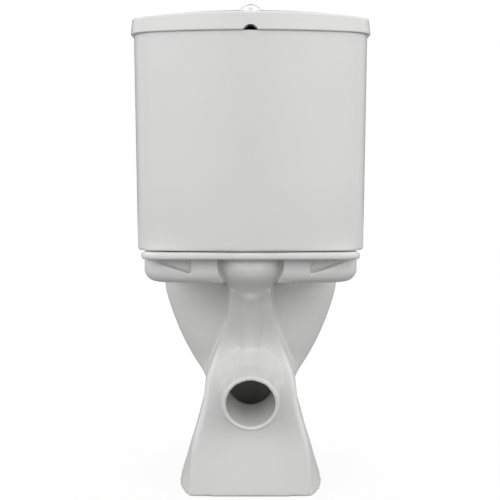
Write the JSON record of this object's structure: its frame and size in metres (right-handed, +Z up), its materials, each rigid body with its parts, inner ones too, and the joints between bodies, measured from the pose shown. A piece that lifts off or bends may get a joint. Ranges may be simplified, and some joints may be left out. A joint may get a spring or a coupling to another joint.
{
  "type": "close coupled toilet",
  "caption": "Close coupled toilet: sculpted china pan with rear outlet spigot, bowed cistern with crowned lid, hinged seat and cover, and sprung flush button that lifts the valve.",
  "frame": {"origin": "on the floor, under the middle of the overall width and depth", "axes": "+Z up from the floor, +Y from the bowl nose towards the wall behind the cistern, +X to the side of the water inlet"},
  "size_m": [0.3986, 0.6497, 0.8374],
  "materials": {
    "china": "white vitreous china with a clear glaze",
    "chrome": "bright chrome plate",
    "grey_plastic": "moulded grey plastic",
    "white_plastic": "moulded white plastic",
    "blue_plastic": "moulded pale blue plastic",
    "float_plastic": "moulded dark grey plastic",
    "spring_steel": "drawn spring wire",
    "steel": "plain stainless steel",
    "brass": "turned brass",
    "black_rubber": "moulded black rubber",
    "red_rubber": "soft red silicone",
    "pad_rubber": "soft white rubber",
    "seat_plastic": "polished white moulded plastic"
  },
  "bodies": {
    "fixture": {"pan": "china", "cistern_tank": "china", "cistern_lid": "china", "button_bezel": "chrome", "button_nut": "grey_plastic", "flush_valve_nut": "grey_plastic", "fill_valve_nut": "grey_plastic", "full_button_spring": "spring_steel", "half_button_spring": "spring_steel", "flush_valve_body": "white_plastic", "flush_valve_washer": "black_rubber", "close_coupling_seal": "black_rubber", "rocker_pin": "steel", "fill_valve_body": "white_plastic", "fill_valve_head": "grey_plastic", "fill_valve_washer": "black_rubber", "lever_pin": "steel", "tank_bolts": "steel", "bolt_seal_washers": "black_rubber", "bolt_spacer_washers": "black_rubber", "bolt_steel_washers": "steel", "bolt_wing_nuts": "brass", "hinge_posts": "chrome", "hinge_pins": "steel", "hinge_studs": "steel", "hinge_cone_washers": "black_rubber", "hinge_nuts": "grey_plastic"},
    "seat": {"seat_ring": "seat_plastic", "seat_buffers": "pad_rubber"},
    "cover": {"seat_cover": "seat_plastic", "cover_buffers": "pad_rubber"},
    "full_button": {"full_flush_button": "chrome", "full_flush_rod": "white_plastic"},
    "half_button": {"half_flush_button": "chrome", "half_flush_rod": "white_plastic"},
    "valve_stem": {"overflow_stem": "blue_plastic", "flush_seal": "red_rubber"},
    "rocker": {"lift_rocker": "grey_plastic"},
    "float": {"float_cup": "float_plastic"},
    "lever": {"float_lever": "white_plastic"}
  },
  "joints": [
    {"name": "seat_hinge", "type": "hinge", "parent": "fixture", "child": "seat", "pos_m": [0, 0.097, 0.426], "axis": [-1, 0, 0], "range_deg": [0, 95]},
    {"name": "cover_hinge", "type": "hinge", "parent": "seat", "child": "cover", "pos_m": [0, 0.097, 0.426], "axis": [1, 0, 0], "range_deg": [-95, 0]},
    {"name": "full_flush_press", "type": "slide", "parent": "fixture", "child": "full_button", "axis": [0, 0, -1], "range_m": [0, 0.007], "stiffness_N_per_m": 600, "springref_m": -0.006, "deforming": ["full_button_spring"]},
    {"name": "half_flush_press", "type": "slide", "parent": "fixture", "child": "half_button", "axis": [0, 0, -1], "range_m": [0, 0.007], "stiffness_N_per_m": 600, "springref_m": -0.006, "deforming": ["half_button_spring"]},
    {"name": "stem_lift", "type": "slide", "parent": "fixture", "child": "valve_stem", "axis": [0, 0, 1], "range_m": [0, 0.0096]},
    {"name": "rocker_tilt", "type": "hinge", "parent": "fixture", "child": "rocker", "pos_m": [0.022, 0.247, 0.6985], "axis": [0, -1, 0], "range_deg": [0, 18.3]},
    {"name": "float_slide", "type": "slide", "parent": "fixture", "child": "float", "axis": [0, 0, 1], "range_m": [0, 0.01]},
    {"name": "lever_tilt", "type": "hinge", "parent": "fixture", "child": "lever", "pos_m": [0.142, 0.241, 0.6655], "axis": [0, 1, 0], "range_deg": [0, 15.1]}
  ],
  "couplings": [
    {"joint": "stem_lift", "follows": "full_flush_press", "ratio": 1.3636},
    {"joint": "rocker_tilt", "follows": "full_flush_press", "rad_per_m": 45.455},
    {"joint": "lever_tilt", "follows": "float_slide", "rad_per_m": 26.316}
  ]
}
